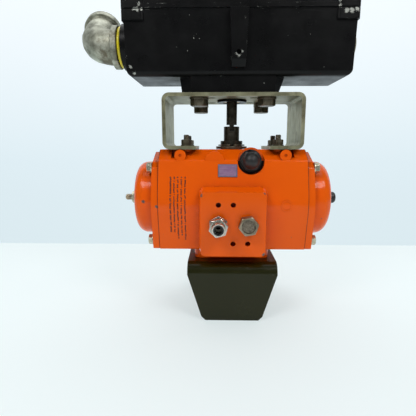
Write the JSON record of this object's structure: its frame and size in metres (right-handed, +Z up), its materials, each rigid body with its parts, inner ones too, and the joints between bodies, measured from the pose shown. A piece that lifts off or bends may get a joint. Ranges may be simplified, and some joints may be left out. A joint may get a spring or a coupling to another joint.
{
  "type": "pneumatic valve actuator",
  "caption": "Spring-return rack and pinion actuator on a mounting bracket, with a switch box above it driven by its shaft.",
  "frame": {"origin": "centre of the valve bolt circle, on the underside of the lower bracket, on the drive axis", "axes": "+Z up along the drive shaft, +X to the right along the cylinder, +Y away from the air connection pad"},
  "size_m": [0.2429, 0.1188, 0.294],
  "materials": {
    "acetal": "acetal",
    "alloy": "machined aluminium",
    "black_bracket": "gloss black paint on plate steel",
    "black_casting": "semi-gloss black paint on a casting, worn at the edges",
    "black_rubber": "black rubber and plastic",
    "bright_zinc": "yellowed zinc plate",
    "bronze": "bearing bronze",
    "dark_steel": "oiled, darkened steel",
    "dull_zinc": "dull zinc plate, stained",
    "galvanized": "hot-dip galvanized casting, mottled",
    "gasket_fibre": "dark gasket",
    "nickel": "nickel-plated brass",
    "orange_paint": "glossy orange paint over die-cast aluminium",
    "plate_foil": "printed foil plate",
    "sintered_bronze": "sintered bronze",
    "spring_steel": "spring steel",
    "switch_plastic": "blue switch housings",
    "terminal_plastic": "green terminal block",
    "vent_metal": "tarnished nickel",
    "yellow_washer": "yellow plastic"
  },
  "bodies": {
    "housing": {"lower_bracket": "black_bracket", "foot_plate": "black_bracket", "bracket_screws": "bright_zinc", "actuator_body": "orange_paint", "left_end_cap": "orange_paint", "right_end_cap": "orange_paint", "end_gaskets": "gasket_fibre", "end_cap_screws": "bright_zinc", "left_travel_screw": "bright_zinc", "left_travel_nut": "bright_zinc", "right_travel_screw": "bright_zinc", "right_travel_cap": "black_rubber", "port_fitting": "nickel", "port_collet": "black_rubber", "vent_plug": "vent_metal", "vent_disc": "sintered_bronze", "stop_screw": "bright_zinc", "stop_seal": "black_rubber", "stop_cap": "black_rubber", "nameplate": "plate_foil", "lower_bush": "bronze", "upper_bush": "bronze", "left_spring": "spring_steel", "right_spring": "spring_steel", "upper_bracket": "dull_zinc", "bracket_studs": "dark_steel", "bracket_nuts": "dark_steel", "box_screws": "dark_steel", "switch_box": "black_casting", "box_bush": "bronze", "limit_switches": "switch_plastic", "switch_holder": "alloy", "terminal_strip": "terminal_plastic", "cover_gasket": "black_rubber", "box_cover": "black_casting", "cover_screws": "bright_zinc", "conduit_elbow": "galvanized", "elbow_washer": "yellow_washer", "conduit_plug": "bright_zinc"},
    "drive_shaft": {"pinion": "dark_steel", "pinion_rings": "black_rubber", "stop_cam": "dark_steel", "thrust_washer": "dark_steel", "shaft_clip": "dark_steel", "box_shaft": "dark_steel", "switch_targets": "alloy"},
    "left_piston": {"left_piston": "alloy", "left_piston_rings": "black_rubber", "left_rack_guide": "acetal"},
    "right_piston": {"right_piston": "alloy", "right_piston_rings": "black_rubber", "right_rack_guide": "acetal"}
  },
  "joints": [
    {"name": "drive_turn", "type": "hinge", "parent": "housing", "child": "drive_shaft", "pos_m": [0, 0, 0.1], "axis": [0, 0, 1], "range_deg": [0, 90]},
    {"name": "right_piston_slide", "type": "slide", "parent": "housing", "child": "right_piston", "axis": [1, 0, 0], "range_m": [0, 0.0222], "deforming": ["right_spring"]},
    {"name": "left_piston_slide", "type": "slide", "parent": "housing", "child": "left_piston", "axis": [-1, 0, 0], "range_m": [0, 0.0222], "deforming": ["left_spring"]}
  ],
  "couplings": [
    {"joint": "right_piston_slide", "follows": "drive_turn", "m_per_rad": 0.014},
    {"joint": "left_piston_slide", "follows": "drive_turn", "m_per_rad": 0.014}
  ]
}
